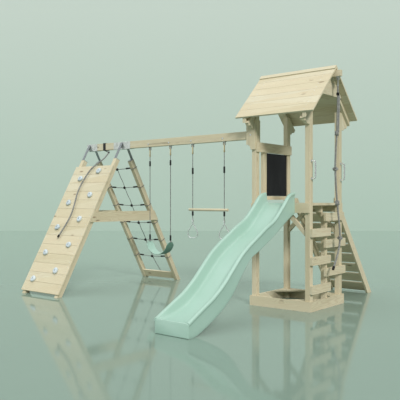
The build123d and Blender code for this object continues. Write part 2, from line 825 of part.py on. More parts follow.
def swing_link(x, y, pivot, low):
    """A flat link with an eye on the pin and a round foot that grips the rope."""
    rod((x - 5, y, pivot), (x + 5, y, pivot), 12)
    block((x - 5, x + 5), (y - 8, y + 8), (low + 10, pivot))
    rod((x, y, low), (x, y, low + 26), 11)
    rod((x - 6, y, pivot), (x + 6, y, pivot), pin_radius + running_gap, Mode.SUBTRACT)


ridge_under = ridge_beam_top - ridge_beam_height

with BuildPart() as hanger_clevises:
    for x in hanger_xs:
        clevis(x, beam_y, beam_under, pivot_z)
    clevis(climb_rope_x, 0, ridge_under, climb_pivot_z)
hanger_clevises.part.label = "hanger_clevises"
export_step(hanger_clevises.part, "parts/hanger_clevises.step")

with BuildPart() as hanger_pins:
    for x in hanger_xs:
        pivot_pin(x, beam_y, pivot_z)
    pivot_pin(climb_rope_x, 0, climb_pivot_z)
hanger_pins.part.label = "hanger_pins"
export_step(hanger_pins.part, "parts/hanger_pins.step")

sleeve_radius = 12

# ======================================================================================
# Belt swing
# ======================================================================================
swing_xs = hanger_xs[:2]

with BuildPart() as swing_links:
    for x in swing_xs:
        swing_link(x, beam_y, pivot_z, rope_top)
swing_links.part.label = "swing_links"
export_step(swing_links.part, "parts/swing_links.step")

with BuildPart() as swing_ropes:
    for x in swing_xs:
        rod((x, beam_y, seat_tip + 14), (x, beam_y, rope_top), rope_radius)
swing_ropes.part.label = "swing_ropes"
export_step(swing_ropes.part, "parts/swing_ropes.step")

with BuildPart() as swing_sleeves:
    for x in swing_xs:
        for z in (1720, 712):
            rod((x, beam_y, z), (x, beam_y, z + 70), sleeve_radius)
swing_sleeves.part.label = "swing_sleeves"
export_step(swing_sleeves.part, "parts/swing_sleeves.step")

seat_width = 145
seat_thick = 9

with BuildPart() as swing_seat:
    outer_line = [(-swing_half - 4, seat_tip), (-142, 566), (0, seat_low), (142, 566), (swing_half + 4, seat_tip)]
    inner_line = [(-swing_half + 5, seat_tip), (-135, 573), (0, seat_low + seat_thick), (135, 573),
                  (swing_half - 5, seat_tip)]
    with BuildSketch(Plane.XZ.offset(-tower_y - beam_y + seat_width / 2)) as belt:
        with BuildLine():
            low_edge = [(tower_x + swing_mid + x, z) for x, z in outer_line]
            high_edge = [(tower_x + swing_mid + x, z) for x, z in inner_line]
            Spline(*low_edge)
            Line(low_edge[-1], high_edge[-1])
            Spline(*high_edge)
            Line(high_edge[0], low_edge[0])
        make_face()
    extrude(belt.sketch, amount=-seat_width)
swing_seat.part.label = "swing_seat"
export_step(swing_seat.part, "parts/swing_seat.step")

with BuildPart() as seat_clamps:
    for x in swing_xs:
        block((x - 8, x + 8), (beam_y - 22, beam_y + 22), (seat_tip + 0.2, seat_tip + 14))
seat_clamps.part.label = "seat_clamps"
export_step(seat_clamps.part, "parts/seat_clamps.step")

# ======================================================================================
# Trapeze with two grip rings
# ======================================================================================
trapeze_xs = hanger_xs[2:]
bar_radius = 17
bar_over = 58

with BuildPart() as trapeze_links:
    for x in trapeze_xs:
        swing_link(x, beam_y, pivot_z, rope_top)
trapeze_links.part.label = "trapeze_links"
export_step(trapeze_links.part, "parts/trapeze_links.step")

with BuildPart() as trapeze_ropes:
    for x in trapeze_xs:
        rod((x, beam_y, ring_pivot_z + 32), (x, beam_y, rope_top), rope_radius)
trapeze_ropes.part.label = "trapeze_ropes"
export_step(trapeze_ropes.part, "parts/trapeze_ropes.step")

with BuildPart() as trapeze_bar:
    rod((trapeze_xs[0] - bar_over, beam_y, bar_z), (trapeze_xs[1] + bar_over, beam_y, bar_z), bar_radius)
    for x in trapeze_xs:
        rod((x, beam_y, bar_z - 30), (x, beam_y, bar_z + 30), rope_radius + 0.3, Mode.SUBTRACT)
trapeze_bar.part.label = "trapeze_bar"
export_step(trapeze_bar.part, "parts/trapeze_bar.step")

with BuildPart() as trapeze_sleeves:
    for x in trapeze_xs:
        for low, high in ((1592, 1672), (1052, 1108)):
            rod((x, beam_y, low), (x, beam_y, high), sleeve_radius)
trapeze_sleeves.part.label = "trapeze_sleeves"
export_step(trapeze_sleeves.part, "parts/trapeze_sleeves.step")

with BuildPart() as ring_forks:
    for x in trapeze_xs:
        rod((x, beam_y, ring_pivot_z + 14), (x, beam_y, ring_pivot_z + 32), 9)
        for side in (-1, 1):
            block((x + side * 7, x + side * 10), (beam_y - 7, beam_y + 7),
                  (ring_pivot_z - 6, ring_pivot_z + 16))
        block((x - 10, x + 10), (beam_y - 7, beam_y + 7), (ring_pivot_z + 11, ring_pivot_z + 16))
        rod((x - 10, beam_y, ring_pivot_z), (x + 10, beam_y, ring_pivot_z), 3)
ring_forks.part.label = "ring_forks"
export_step(ring_forks.part, "parts/ring_forks.step")

ring_wire = 5.5
ring_drop = 215


def grip_ring(x):
    """A drop-shaped ring of bar hanging from an eye on the fork's pin."""
    low = ring_pivot_z - ring_drop
    neck_low = ring_pivot_z - 24
    rod((x, beam_y, ring_pivot_z - 5), (x, beam_y, neck_low - 4), ring_wire)
    with BuildLine() as outline:
        FilletPolyline(
            at(x - 1, beam_y, neck_low), at(x - 88, beam_y, low + 66), at(x - 62, beam_y, low),
            at(x + 62, beam_y, low), at(x + 88, beam_y, low + 66), at(x + 1, beam_y, neck_low),
            radius=[56, 56, 56, 56])
    with BuildSketch(Plane(origin=outline.line @ 0, z_dir=outline.line % 0)) as wire:
        Circle(ring_wire)
    sweep(wire.sketch, path=outline.line)
    rod((x - 6, beam_y, ring_pivot_z), (x + 6, beam_y, ring_pivot_z), 9)
    rod((x - 7, beam_y, ring_pivot_z), (x + 7, beam_y, ring_pivot_z), 3 + running_gap, Mode.SUBTRACT)


with BuildPart() as grip_ring_left:
    grip_ring(trapeze_xs[0])
grip_ring_left.part.label = "grip_ring_left"
export_step(grip_ring_left.part, "parts/grip_ring_left.step")

with BuildPart() as grip_ring_right:
    grip_ring(trapeze_xs[1])
grip_ring_right.part.label = "grip_ring_right"
export_step(grip_ring_right.part, "parts/grip_ring_right.step")

# ======================================================================================
# Knotted climbing rope at the tip of the ridge beam
# ======================================================================================
link_low = climb_pivot_z - 82

with BuildPart() as climb_link:
    swing_link(climb_rope_x, 0, climb_pivot_z, link_low)
climb_link.part.label = "climb_link"
export_step(climb_link.part, "parts/climb_link.step")

climb_rope_radius = 12
climb_route = [(535, 0, link_low - 0.3), (536, -2, 2400), (533, -10, 2210), (535, -22, 2020), (530, -43, 1815),
               (530, -58, 1615), (536, -48, 1420), (538, -24, 1220), (544, 10, 1020), (546, 40, 830),
               (540, 20, 690), (537, -40, 575), (535, -108, 482)]

with BuildPart() as climb_rope:
    rope("climb_rope", climb_route, climb_rope_radius)
climb_rope.part.label = "climb_rope"
export_step(climb_rope.part, "parts/climb_rope.step")

knot_places = [(535, -20, 2020), (531, -56, 1615), (538, -24, 1220), (545, 34, 817)]

with BuildPart() as rope_knots:
    for place in knot_places:
        with Locations(at(*place)):
            Sphere(35)
    # the rope is doubled back on itself from the sleeve down to the first knot
    rope("doubled part", [(536, -1, 2458), (534, -8, 2250), (535, -18, 2050)], 17)
rope_knots.part.label = "rope_knots"
export_step(rope_knots.part, "parts/rope_knots.step")

with BuildPart() as rope_end_cap:
    rod((535, -98, 496), (535, -122, 462), 15)
    rod((536, -1, 2462), (536, -1, 2492), 18)
rope_end_cap.part.label = "rope_end_cap"
export_step(rope_end_cap.part, "parts/rope_end_cap.step")

# ======================================================================================
# Wall rope on a sling round the swing beam
# ======================================================================================
sling_x = -2995
sling_width = 50
sling_thick = 5
wall_pivot = (-2853, -440, 1946)

with BuildPart() as beam_sling:
    grown = sling_thick + 0.4
    block((sling_x - sling_width / 2, sling_x + sling_width / 2),
          (beam_y - beam_half - grown, beam_y + beam_half + grown), (beam_under - grown, beam_top + grown))
    block((sling_x - sling_width, sling_x + sling_width), (beam_y - beam_half - 0.4, beam_y + beam_half + 0.4),
          (beam_under - 0.4, beam_top + 0.4), Mode.SUBTRACT)
beam_sling.part.label = "beam_sling"
export_step(beam_sling.part, "parts/beam_sling.step")

with BuildPart() as sling_arm:
    arm_start = (sling_x + sling_width / 2, -412, beam_under - 9)
    rod(arm_start, (wall_pivot[0] - 18, wall_pivot[1], wall_pivot[2] + 2), 6)
    rod((wall_pivot[0] - 18, wall_pivot[1], wall_pivot[2]), (wall_pivot[0] + 14, wall_pivot[1], wall_pivot[2]), 4)
sling_arm.part.label = "sling_arm"
export_step(sling_arm.part, "parts/sling_arm.step")

wall_route = [(-2853, -446, 1934), (-2856, -490, 1882), (-2868, -548, 1828), (-2902, -612, 1778),
              (-2962, -664, 1716), (-3012, -706, 1628), (-3042, -778, 1502), (-3052, -848, 1376),
              (-3006, -936, 1219), (-2968, -1030, 1052), (-2994, -1114, 902), (-3036, -1184, 778)]
wall_rope_radius = 11

with BuildPart() as wall_rope:
    rope("wall_rope", wall_route, wall_rope_radius)
wall_rope.part.label = "wall_rope"
export_step(wall_rope.part, "parts/wall_rope.step")

with BuildPart() as wall_rope_fittings:
    eye_x, eye_y, eye_z = wall_pivot
    rod((eye_x - 5, eye_y, eye_z), (eye_x + 5, eye_y, eye_z), 11)
    rod((eye_x, eye_y, eye_z - 5), wall_route[0], 11.5)
    rod((eye_x - 12, eye_y, eye_z), (eye_x + 12, eye_y, eye_z), pin_radius + running_gap, Mode.SUBTRACT)
    rod(wall_route[-1], (-3046, -1204, 744), 13)
wall_rope_fittings.part.label = "wall_rope_fittings"
export_step(wall_rope_fittings.part, "parts/wall_rope_fittings.step")

# ======================================================================================
# Screw heads, standing a little proud of the boards they hold
# ======================================================================================
screw_radius = 5
screw_proud = 1.2
screw_pair = 36  # half the spacing of the two screws at a board's end


def screw(place, direction):
    """One pan head on a face, place given from the middle of the tower."""
    with BuildSketch(Plane(origin=at(*place), z_dir=direction)) as head:
        Circle(screw_radius)
    extrude(head.sketch, amount=screw_proud)


with BuildPart() as screw_heads:
    lean = radians(leg_angle)
    for i in range(wall_rows):
        middle = wall_first + (i + 0.5) * wall_pitch
        for side in (-1, 1):
            for shift in (-screw_pair, screw_pair):
                y, z = slope_point(-1, middle + shift, wall_board)
                screw((frame_mid + side * (frame_half + 8), y, z), (0, -sin(lean), cos(lean)))
    for z, y0, y1 in step_rows:
        post_side = -1 if y0 < -100 else 1
        for y in (post_side * post_centre_y, post_side * 8):
            for shift in (-24, 24):
                screw((tower_half_x + step_board, y, z + shift), (1, 0, 0))
    for side in (-1, 1):
        for i in range(roof_rows):
            for x in rafter_rows:
                for share in (0.27, 0.77):
                    y = (i + share) * row_depth / 2**0.5
                    if i + share > 0.6:
                        screw((x, side * y, ridge_z - y), (0, side, 1))
screw_heads.part.label = "screw_heads"
export_step(screw_heads.part, "parts/screw_heads.step")
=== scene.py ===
"""Garden play tower with a slide, ramp, climbing wall, rope net and swings: materials and fine pieces.

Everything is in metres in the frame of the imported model: +Z up, +X along the swing beam towards the tower,
-Y towards the end of the slide.
"""
from math import atan2, cos, pi, radians, sin, tan

import bmesh
import bpy
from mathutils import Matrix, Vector


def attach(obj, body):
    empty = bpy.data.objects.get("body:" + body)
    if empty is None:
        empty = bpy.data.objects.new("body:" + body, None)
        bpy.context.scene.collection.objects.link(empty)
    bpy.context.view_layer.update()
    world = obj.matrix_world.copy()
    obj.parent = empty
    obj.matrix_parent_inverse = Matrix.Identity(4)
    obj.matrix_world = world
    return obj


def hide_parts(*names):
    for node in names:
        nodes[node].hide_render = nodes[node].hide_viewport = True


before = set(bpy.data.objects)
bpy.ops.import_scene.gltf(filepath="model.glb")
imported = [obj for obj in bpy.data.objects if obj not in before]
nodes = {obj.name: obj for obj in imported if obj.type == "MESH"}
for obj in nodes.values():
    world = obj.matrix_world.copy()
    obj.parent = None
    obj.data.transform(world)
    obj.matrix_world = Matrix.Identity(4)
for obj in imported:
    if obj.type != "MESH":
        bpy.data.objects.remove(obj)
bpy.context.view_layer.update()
collection = bpy.context.scene.collection

# ======================================================================================
# Places shared with the CAD source
# ======================================================================================
tower = Vector((1.3975, 0.405, 0))  # middle of the tower on the ground
beam_y = tower.y - 0.360
frame_mid = tower.x - 2.973
frame_half = 0.345
leg_angle = radians(60.7)
ramp_angle = radians(52.2)
ramp_toe = 1.475  # tower middle to the foot of the ramp
beam_top = 2.083
beam_half = 0.035
foot_reach = beam_half + beam_top / tan(leg_angle)
leg_width, leg_depth = 0.060, 0.070
wall_board = 0.022
swing_xs = (tower.x - 2.108, tower.x - 1.730)
trapeze_xs = (tower.x - 1.342, tower.x - 0.830)
rope_top = 1.852
seat_tip = 0.690
ring_pivot_z = 0.978


def at(x, y, z):
    """A place given in millimetres from the middle of the tower."""
    return tower + Vector((x, y, z)) / 1000


def slope_point(side, along, out):
    """(y, z) on a leg of the A-frame: along from its toe, out from its outer face, in metres."""
    y = beam_y + side * (foot_reach - along * cos(leg_angle) + out * sin(leg_angle))
    return y, along * sin(leg_angle) + out * cos(leg_angle)


# ======================================================================================
# Node helpers for materials
# ======================================================================================
class Shader:
    """A material's node tree with short calls for the nodes used here."""

    def __init__(self, name, roughness, metallic=0.0, specular=0.5, coat=0.0, coat_roughness=0.1):
        self.material = bpy.data.materials.new(name)
        self.material.use_nodes = True
        self.tree = self.material.node_tree
        self.surface = self.tree.nodes["Principled BSDF"]
        self.surface.inputs["Roughness"].default_value = roughness
        self.surface.inputs["Metallic"].default_value = metallic
        self.surface.inputs["Specular IOR Level"].default_value = specular
        self.surface.inputs["Coat Weight"].default_value = coat
        self.surface.inputs["Coat Roughness"].default_value = coat_roughness
        self.place = self.add("ShaderNodeTexCoord").outputs["Object"]

    def add(self, kind, **settings):
        node = self.tree.nodes.new(kind)
        for key, value in settings.items():
            setattr(node, key, value)
        return node

    def feed(self, socket, value):
        if isinstance(value, bpy.types.NodeSocket):
            self.tree.links.new(value, socket)
        else:
            socket.default_value = value

    def math(self, operation, a, b=0.0, clamp=False):
        node = self.add("ShaderNodeMath", operation=operation, use_clamp=clamp)
        self.feed(node.inputs[0], a)
        self.feed(node.inputs[1], b)
        return node.outputs[0]

    def first_channel(self, colour):
        split = self.add("ShaderNodeSeparateColor")
        self.feed(split.inputs[0], colour)
        return split.outputs[0]

    def vector(self, operation, a, b):
        node = self.add("ShaderNodeVectorMath", operation=operation)
        self.feed(node.inputs[0], a)
        self.feed(node.inputs[1], b)
        return node.outputs[0]

    def mapped(self, place, rotation=(0, 0, 0), scale=(1, 1, 1)):
        node = self.add("ShaderNodeMapping")
        self.feed(node.inputs["Vector"], place)
        node.inputs["Rotation"].default_value = rotation
        node.inputs["Scale"].default_value = scale
        return node.outputs[0]

    def noise(self, scale, detail=3.0, place=None, roughness=0.5, distortion=0.0):
        node = self.add("ShaderNodeTexNoise")
        self.feed(node.inputs["Vector"], place or self.place)
        node.inputs["Scale"].default_value = scale
        node.inputs["Detail"].default_value = detail
        node.inputs["Roughness"].default_value = roughness
        node.inputs["Distortion"].default_value = distortion
        return node.outputs["Fac"]

    def spots(self, scale, place=None):
        node = self.add("ShaderNodeTexVoronoi")
        self.feed(node.inputs["Vector"], place or self.place)
        node.inputs["Scale"].default_value = scale
        return node

    def ramp(self, value, *stops):
        node = self.add("ShaderNodeValToRGB")
        self.feed(node.inputs[0], value)
        band = node.color_ramp
        while len(band.elements) < len(stops):
            band.elements.new(0.5)
        for element, (position, colour) in zip(band.elements, stops):
            element.position = position
            element.color = (*colour, 1) if len(colour) == 3 else colour
        return node.outputs[0]

    def mix(self, share, a, b, blend="MIX"):
        node = self.add("ShaderNodeMix", data_type="RGBA", blend_type=blend)
        self.feed(node.inputs[0], share)
        for socket, value in ((node.inputs[6], a), (node.inputs[7], b)):
            self.feed(socket, (*value, 1) if isinstance(value, tuple) else value)
        return node.outputs[2]

    def colour(self, value):
        self.feed(self.surface.inputs["Base Color"], (*value, 1) if isinstance(value, tuple) else value)

    def rough(self, value, low, high):
        """Roughness that wanders between two limits with a 0 to 1 value."""
        span = self.math("MULTIPLY", value, high - low)
        self.feed(self.surface.inputs["Roughness"], self.math("ADD", span, low, clamp=True))

    def bump(self, height, depth):
        """Relief of this depth in metres."""
        node = self.add("ShaderNodeBump")
        node.inputs["Strength"].default_value = 1.0
        node.inputs["Distance"].default_value = depth
        self.feed(node.inputs["Height"], height)
        self.feed(self.surface.inputs["Normal"], node.outputs[0])


def grey(value):
    return (value, value, value)


# ======================================================================================
# Materials
# ======================================================================================
def timber(name, rotation, pale=(0.72, 0.675, 0.515), dark=(0.53, 0.445, 0.30), knots=0.8):
    """Planed spruce whose grain runs along Z after the rotation; every board has its own cut."""
    s = Shader(name, 0.6, specular=0.35)
    board = s.add("ShaderNodeNewGeometry").outputs["Random Per Island"]
    shift = s.add("ShaderNodeCombineXYZ")
    for socket, spread in zip(shift.inputs, (0.9, 0.7, 23.0)):
        s.feed(socket, s.math("MULTIPLY", board, spread))
    along = s.vector("ADD", s.mapped(s.place, rotation), shift.outputs[0])

    # knots: one in some cells that are long in the direction of the grain
    cell = s.spots(1.0, s.mapped(along, scale=(9.5, 9.5, 3.1)))
    knot = s.ramp(cell.outputs["Distance"], (0.0, grey(1.0)), (0.075, grey(0.75)), (0.16, grey(0.0)))
    swirl = s.ramp(cell.outputs["Distance"], (0.0, grey(1.0)), (0.38, grey(0.0)))
    rare = s.math("GREATER_THAN", s.first_channel(cell.outputs["Color"]), 1 - knots * 0.42)
    knot = s.math("MULTIPLY", knot, rare)
    swirl = s.math("MULTIPLY", swirl, rare)

    # growth rings, pushed about by slow noise and by the knots
    bend = s.noise(1.0, 2.0, s.mapped(along, scale=(7, 7, 1.1)))
    bend = s.math("ADD", s.math("MULTIPLY", bend, 0.11), s.math("MULTIPLY", swirl, 0.035))
    split = s.add("ShaderNodeSeparateXYZ")
    s.feed(split.inputs[0], along)
    distance = s.math("ADD", s.math("ABSOLUTE", split.outputs[0]), bend)
    distance = s.math("ADD", distance, s.math("MULTIPLY", split.outputs[1], 0.35))
    wave = s.math("SINE", s.math("MULTIPLY", distance, 640.0))
    wave = s.math("ADD", s.math("MULTIPLY", wave, 0.5), 0.5)
    rings = s.ramp(wave, (0.0, grey(0.0)), (0.72, grey(0.35)), (1.0, grey(1.0)))

    fibre = s.noise(1.0, 4.0, s.mapped(along, scale=(420, 420, 9)), roughness=0.65)
    blotch = s.noise(1.0, 3.0, s.mapped(along, scale=(16, 16, 2.6)))

    wood = s.mix(s.math("MULTIPLY", rings, 0.50), pale, dark)
    patches = s.math("MULTIPLY", s.ramp(blotch, (0.42, grey(0)), (0.7, grey(1))), 0.34)
    wood = s.mix(patches, wood, (0.62, 0.53, 0.38))
    wood = s.mix(s.math("MULTIPLY", s.ramp(fibre, (0.45, grey(0)), (0.75, grey(1))), 0.28), wood, dark)
    tint = s.ramp(board, (0.0, (1.0, 1.0, 1.0)), (0.35, (0.93, 0.90, 0.84)), (0.6, (1.0, 0.965, 0.93)),
                  (0.85, (0.90, 0.87, 0.80)), (1.0, (0.98, 0.98, 0.99)))
    wood = s.mix(1.0, wood, tint, "MULTIPLY")
    wood = s.mix(s.math("MULTIPLY", knot, 0.82), wood, (0.15, 0.068, 0.028))
    s.colour(wood)
    s.rough(fibre, 0.48, 0.78)
    relief = s.math("ADD", s.math("MULTIPLY", fibre, 0.5), s.math("MULTIPLY", rings, -0.35))
    s.bump(s.math("ADD", relief, s.math("MULTIPLY", knot, -0.4)), 0.0009)
    return s.material


# The directions that boards run in, as the rotation that turns each onto Z.
grain_directions = {
    "z": (Vector((0, 0, 1)), (0, 0, 0)),
    "x": (Vector((1, 0, 0)), (0, -pi / 2, 0)),
    "y": (Vector((0, 1, 0)), (pi / 2, 0, 0)),
}
for label, angle in (("leg", leg_angle), ("rafter", radians(45)), ("ramp", ramp_angle)):
    for sign in (-1, 1):
        run = Vector((0, sign * cos(angle), sin(angle)))
        grain_directions[f"{label} {sign}"] = (run, (sign * (pi / 2 - angle), 0, 0))
timbers = {label: timber(f"spruce along {label}", rotation)
           for label, (_, rotation) in grain_directions.items()}


def moulded(name, colour, shade, roughness=0.42, texture=900.0, relief=0.00012, worn=0.16):
    """Polyethylene with a fine moulded texture and a slow drift of colour."""
    s = Shader(name, roughness, specular=0.45)
    drift = s.noise(2.6, 3.0)
    scuff = s.noise(1.0, 5.0, s.mapped(s.place, scale=(60, 22, 60)), roughness=0.7)
    tone = s.mix(s.ramp(drift, (0.3, grey(0)), (0.72, grey(1))), colour, shade)
    rubbed = s.math("MULTIPLY", s.ramp(scuff, (0.6, grey(0)), (0.82, grey(1))), worn)
    tone = s.mix(rubbed, tone, (0.80, 0.86, 0.83))
    s.colour(tone)
    s.rough(scuff, roughness - worn * 0.6, roughness + worn)
    s.bump(s.noise(texture, 2.0), relief)
    return s.material


def zinc(name, tone=(0.66, 0.67, 0.66), roughness=0.38, spangle=75.0):
    """Galvanised steel with soft spangle and a few dull patches."""
    s = Shader(name, roughness, metallic=0.85, specular=0.5)
    flake = s.spots(spangle)
    patch = s.noise(26.0, 4.0)
    bright = tuple(min(1.0, value * 1.18) for value in tone)
    dull = tuple(value * 0.72 for value in tone)
    base = s.mix(s.first_channel(flake.outputs["Color"]), tone, bright)
    s.colour(s.mix(s.math("MULTIPLY", s.ramp(patch, (0.5, grey(0)), (0.75, grey(1))), 0.6), base, dull))
    s.rough(patch, roughness - 0.08, roughness + 0.22)
    s.bump(s.noise(420.0, 3.0), 0.00008)
    return s.material


def twisted_fibre(name, colour, shade, scale=2600.0):
    """Yarn of a laid rope: fine filaments, dusty highlights and dark gaps."""
    s = Shader(name, 0.8, specular=0.25)
    yarn = s.noise(1.0, 3.0, s.mapped(s.place, (0.5, 0.4, 0), (scale, scale, scale / 7)), roughness=0.7)
    dust = s.noise(38.0, 4.0)
    tone = s.mix(s.ramp(yarn, (0.35, grey(0)), (0.68, grey(1))), shade, colour)
    dusty = s.math("MULTIPLY", s.ramp(dust, (0.45, grey(0)), (0.75, grey(1))), 0.3)
    s.colour(s.mix(dusty, tone, (0.66, 0.66, 0.62)))
    s.rough(yarn, 0.66, 0.95)
    s.surface.inputs["Sheen Weight"].default_value = 0.25
    s.bump(yarn, 0.0005)
    return s.material


def slate():
    """The chalkboard's smooth black face with traces of wiped chalk."""
    s = Shader("chalkboard", 0.2, specular=0.25, coat=0.1, coat_roughness=0.08)
    wipe = s.noise(1.0, 5.0, s.mapped(s.place, (0.5, 0, 0), (5, 16, 4)), roughness=0.7)
    dust = s.ramp(wipe, (0.5, grey(0)), (0.85, grey(1)))
    s.colour(s.mix(s.math("MULTIPLY", dust, 0.05), (0.006, 0.007, 0.007), (0.45, 0.47, 0.46)))
    s.rough(dust, 0.09, 0.38)
    s.bump(s.noise(700.0, 2.0), 0.00004)
    return s.material


slide_green = moulded("slide polyethylene", (0.40, 0.575, 0.495), (0.37, 0.545, 0.46), 0.22,
                      relief=0.00003, worn=0.04)
# The belt seat's green comes in two copies: the pale one on its inner side is painted light, the dark one on
# its outer side is painted shade.
seat_painted_lit = moulded("belt seat inside", (0.42, 0.60, 0.52), (0.36, 0.54, 0.46), 0.34, 1500.0, 0.0002)
seat_painted_shade = moulded("belt seat", (0.16, 0.29, 0.235), (0.125, 0.245, 0.19), 0.46, 1500.0, 0.0002)
stone_grey = moulded("climbing stone", (0.62, 0.69, 0.73), (0.50, 0.58, 0.63), 0.55, 260.0, 0.0006)
black_nylon = moulded("black nylon", (0.009, 0.009, 0.010), (0.014, 0.014, 0.015), 0.50, 1300.0, 0.0001)
galvanised = zinc("zinc plated steel")
dark_zinc = zinc("dark zinc strap", (0.36, 0.38, 0.40), 0.42, 60.0)
plate_white = zinc("dull zinc plate", (0.74, 0.75, 0.73), 0.50, 48.0)
bright_tube = zinc("bright plated tube", (0.80, 0.81, 0.82), 0.20, 160.0)
hook_brass = zinc("yellow passivated hook", (0.62, 0.53, 0.33), 0.34, 160.0)
rope_grey = twisted_fibre("grey rope", (0.34, 0.345, 0.33), (0.15, 0.15, 0.145))
rope_dark = twisted_fibre("dark rope", (0.20, 0.205, 0.20), (0.075, 0.075, 0.075))
chalk_black = slate()


# ======================================================================================
# CAD nodes that keep their shape: softened edges and their material
# ======================================================================================
def islands(mesh):
    """The polygons of each separate solid in a mesh, joined where corners coincide."""
    keys = [tuple(round(c, 4) for c in v.co) for v in mesh.vertices]
    parent = {}

    def root(key):
        while parent.setdefault(key, key) != key:
            parent[key] = parent[parent[key]]
            key = parent[key]
        return key

    for polygon in mesh.polygons:
        first = root(keys[polygon.vertices[0]])
        for index in polygon.vertices[1:]:
            parent[root(keys[index])] = first
    groups = {}
    for polygon in mesh.polygons:
        groups.setdefault(root(keys[polygon.vertices[0]]), []).append(polygon)
    return list(groups.values())


def soften(obj, width):
    """Joins the split corners of an imported solid and rounds its edges."""
    weld = obj.modifiers.new("join corners", "WELD")
    weld.merge_threshold = 0.00005
    bevel = obj.modifiers.new("eased edges", "BEVEL")
    bevel.width = width
    bevel.segments = 2
    bevel.limit_method = "ANGLE"
    bevel.angle_limit = radians(35)
    bevel.harden_normals = False


def along_boards(name, width=0.0018):
    """Gives every board of a node the spruce whose grain runs along it."""
    obj = nodes[name]
    mesh = obj.data
    mesh.materials.clear()
    labels = list(grain_directions)
    for label in labels:
        mesh.materials.append(timbers[label])
    for polygons in islands(mesh):
        corners = {index for polygon in polygons for index in polygon.vertices}
        spans = []
        for label in labels:
            run = grain_directions[label][0]
            reach = [mesh.vertices[index].co.dot(run) for index in corners]
            spans.append(max(reach) - min(reach))
        best = max(spans)
        choice = next(i for i, span in enumerate(spans) if span > best * 0.9995)
        for polygon in polygons:
            polygon.material_index = choice
    soften(obj, width)


for name in ("corner_posts", "deck_joists", "deck_fascias", "deck_boards", "step_boards", "step_stud",
             "side_rails", "knee_braces", "corbel_braces", "rafters", "roof_boards", "ridge_cap",
             "ridge_beam", "gable_panels", "sandbox_boards", "sandbox_seats", "ramp_boards",
             "ramp_rails", "swing_beam", "beam_cheeks", "wall_boards", "wall_legs", "net_legs",
             "cross_boards"):
    along_boards(name)


def finish_node(name, material, width=0.0006):
    """A CAD node kept as it is with one material."""
    obj = nodes[name]
    obj.data.materials.clear()
    obj.data.materials.append(material)
    for polygon in obj.data.polygons:
        polygon.material_index = 0
    if width:
        soften(obj, width)


for name, material, width in (
        ("chalkboard", chalk_black, 0.0008),
        ("grab_handles", bright_tube, 0),
        ("a_frame_brackets", dark_zinc, 0.0006),
        ("beam_saddles", plate_white, 0.0008),
        ("bolt_heads", galvanised, 0.0006),
        ("hanger_bolts", galvanised, 0.0005),
        ("hanger_clevises", galvanised, 0.0006),
        ("hanger_pins", galvanised, 0.0004),
        ("climb_link", galvanised, 0),
        ("swing_links", hook_brass, 0),
        ("trapeze_links", hook_brass, 0),
        ("ring_forks", galvanised, 0.0004),
        ("seat_clamps", galvanised, 0.0008),
        ("screw_heads", galvanised, 0.0003),
        ("sling_arm", black_nylon, 0),
        ("grip_ring_left", bright_tube, 0),
        ("grip_ring_right", bright_tube, 0),
        ("swing_sleeves", black_nylon, 0.0008),
        ("trapeze_sleeves", black_nylon, 0.0008),
        ("rope_end_cap", black_nylon, 0.0012),
        ("wall_rope_fittings", black_nylon, 0.0008),
        ("beam_sling", black_nylon, 0.0014)):
    finish_node(name, material, width)
finish_node("trapeze_bar", timbers["x"], 0.004)


# ======================================================================================
# Mesh helpers for the new pieces
# ======================================================================================
def new_piece(name, vertices, faces, material, smooth=True):
    mesh = bpy.data.meshes.new(name)
    mesh.from_pydata([tuple(v) for v in vertices], [], faces)
    mesh.materials.append(material)
    for polygon in mesh.polygons:
        polygon.use_smooth = smooth
    obj = bpy.data.objects.new(name, mesh)
    collection.objects.link(obj)
    return obj


class Build:
    """Vertices and faces of one piece, gathered from several tubes and lofts."""

    def __init__(self):
        self.vertices, self.faces = [], []

    def loft(self, rings, closed=True, caps=True, round_trip=False):
        """Skins a list of rings with the same number of points."""
        start, count = len(self.vertices), len(rings[0])
        for ring in rings:
            self.vertices.extend(ring)
        last = len(rings) if round_trip else len(rings) - 1
        for i in range(last):
            a, b = start + i * count, start + (i + 1) % len(rings) * count
            for j in range(count if closed else count - 1):
                k = (j + 1) % count
                self.faces.append((a + j, a + k, b + k, b + j))
        if caps and not round_trip:
            self.faces.append(tuple(range(start + count - 1, start - 1, -1)))
            end = start + (len(rings) - 1) * count
            self.faces.append(tuple(range(end, end + count)))

    def piece(self, name, material, smooth=True):
        obj = new_piece(name, self.vertices, self.faces, material, smooth)
        work = bmesh.new()
        work.from_mesh(obj.data)
        bmesh.ops.recalc_face_normals(work, faces=work.faces)
        work.to_mesh(obj.data)
        work.free()
        return obj


def frames_along(points, loop=False):
    """(place, side, up) at each point, turned as little as possible from one to the next."""
    count = len(points)
    result = []
    side = None
    for i, point in enumerate(points):
        ahead = points[(i + 1) % count] if loop else points[min(i + 1, count - 1)]
        behind = points[(i - 1) % count] if loop else points[max(i - 1, 0)]
        run = (ahead - behind).normalized()
        if side is None:
            side = run.cross(Vector((0, 1, 0)) if abs(run.y) < 0.9 else Vector((1, 0, 0))).normalized()
        side = (side - run * side.dot(run)).normalized()
        result.append((point, side, run.cross(side)))
    return result


def resampled(points, step):
    """Points an even distance apart along a polyline."""
    lengths = [0.0]
    for a, b in zip(points, points[1:]):
        lengths.append(lengths[-1] + (b - a).length)
    count = max(2, round(lengths[-1] / step) + 1)
    result, j = [], 0
    for i in range(count):
        target = lengths[-1] * i / (count - 1)
        while j < len(points) - 2 and lengths[j + 1] < target:
            j += 1
        span = lengths[j + 1] - lengths[j]
        share = (target - lengths[j]) / span if span > 0 else 0
        result.append(points[j].lerp(points[j + 1], min(1.0, share)))
    return result


def circle(place, side, up, radius, count, turn=0.0):
    angles = [turn + 2 * pi * k / count for k in range(count)]
    return [place + side * radius * cos(angle) + up * radius * sin(angle) for angle in angles]


def tube(build, points, radius, count=10, loop=False):
    build.loft([circle(p, s, u, radius, count) for p, s, u in frames_along(points, loop)], round_trip=loop)


